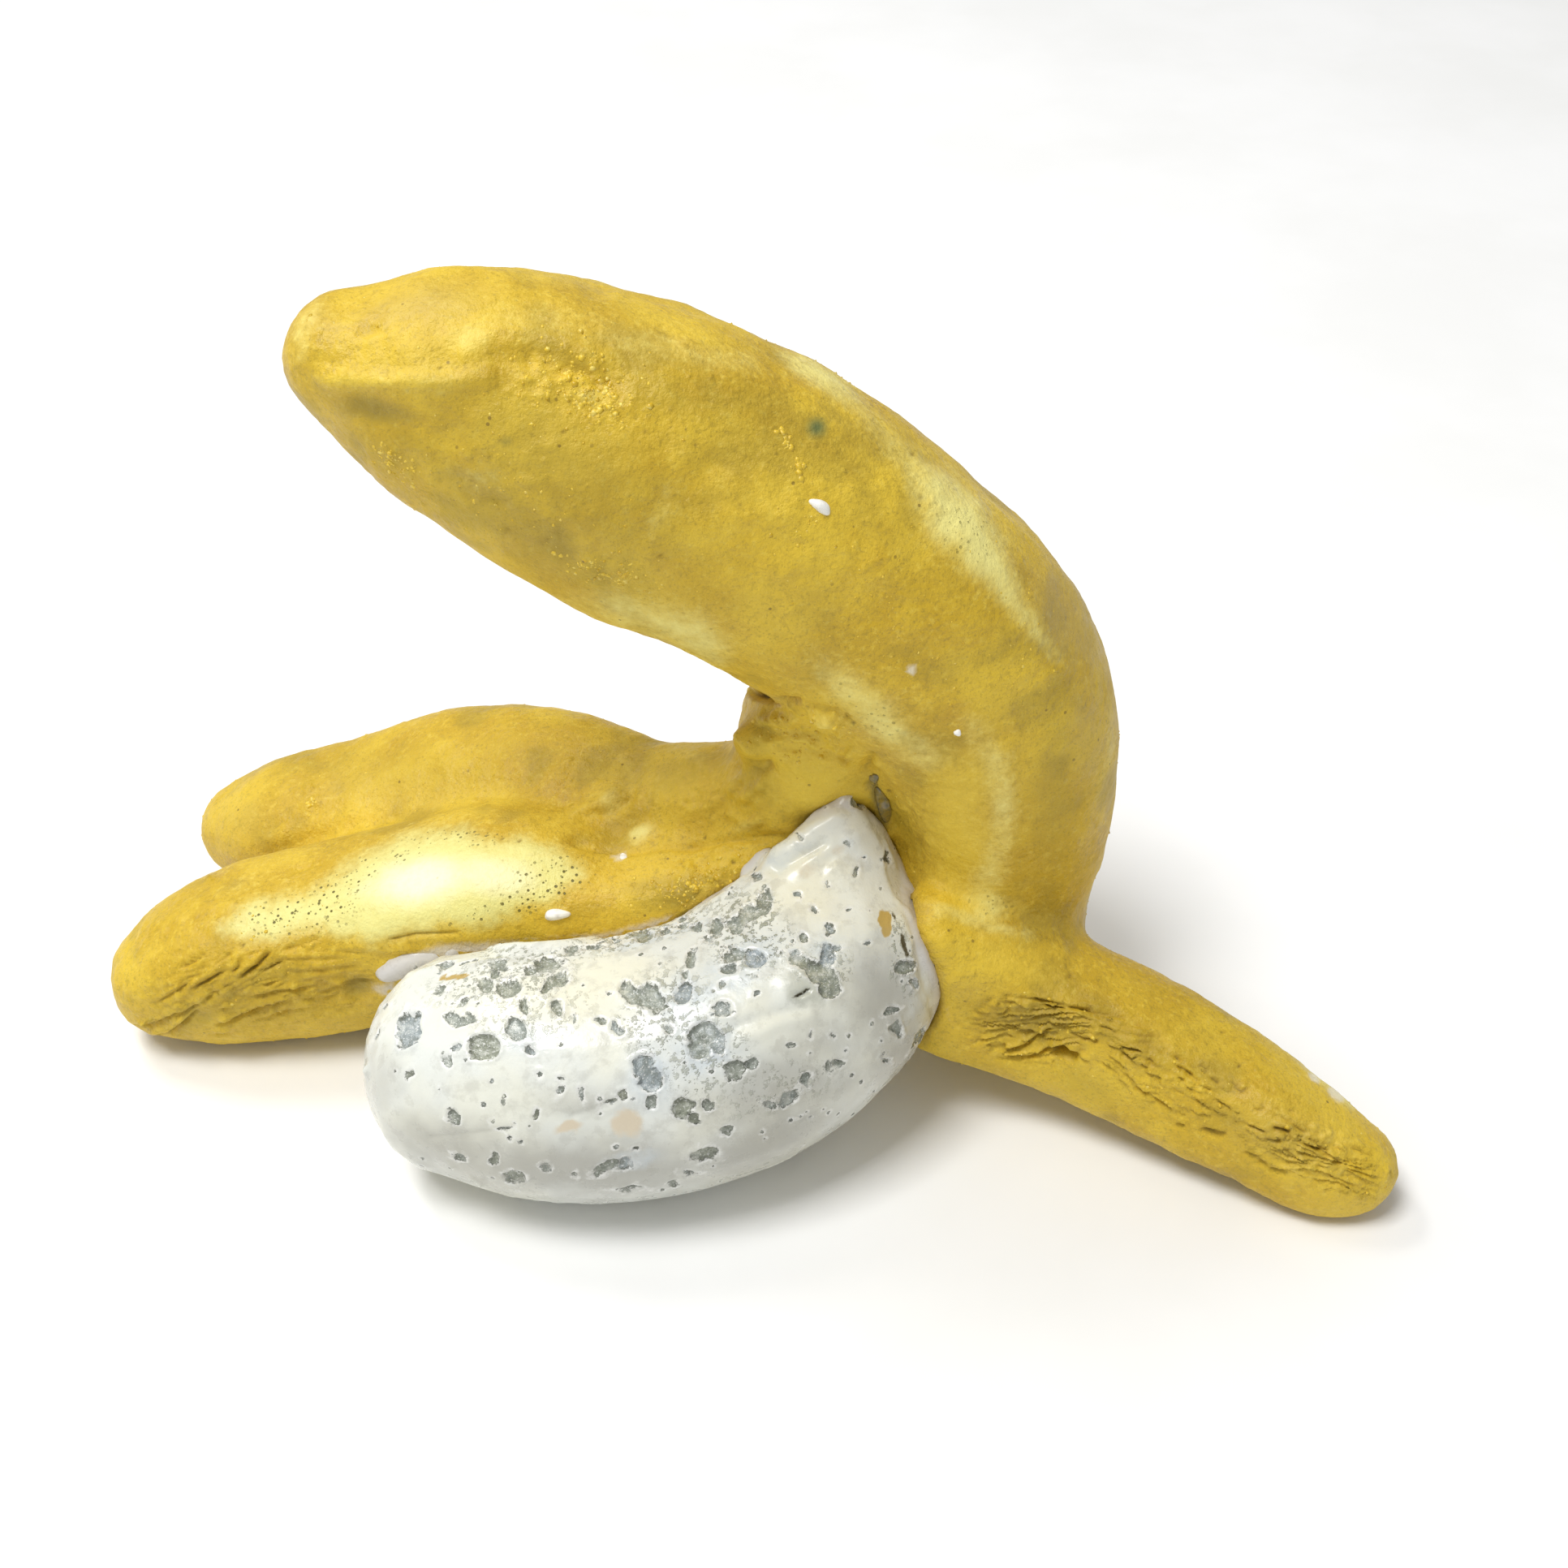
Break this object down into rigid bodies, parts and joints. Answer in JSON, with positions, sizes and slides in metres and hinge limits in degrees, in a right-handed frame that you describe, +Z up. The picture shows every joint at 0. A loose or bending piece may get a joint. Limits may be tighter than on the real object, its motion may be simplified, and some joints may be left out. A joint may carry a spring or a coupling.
{
  "type": "ceramic peeled banana",
  "caption": "Hand-built glazed clay model of a half-peeled banana: a thick arched yellow peel with splayed flaps as legs and a pale pitted flesh lying out of its mouth.",
  "frame": {"origin": "bottom centre of the model's box, on the surface it stands on", "axes": "+Z up, +X along the length towards the right flap, so the stem end points to -X and the pale flesh lies to -Y, the front"},
  "size_m": [0.171, 0.0828, 0.1114],
  "materials": {
    "yellow_glaze": "mustard yellow satin glaze, mottled, with pale worn ridges and fine crystals",
    "white_glaze": "off-white gloss glaze that has crawled, with grey-green glassy pits"
  },
  "bodies": {
    "root": {"peel": "yellow_glaze", "flesh": "white_glaze"}
  },
  "joints": []
}
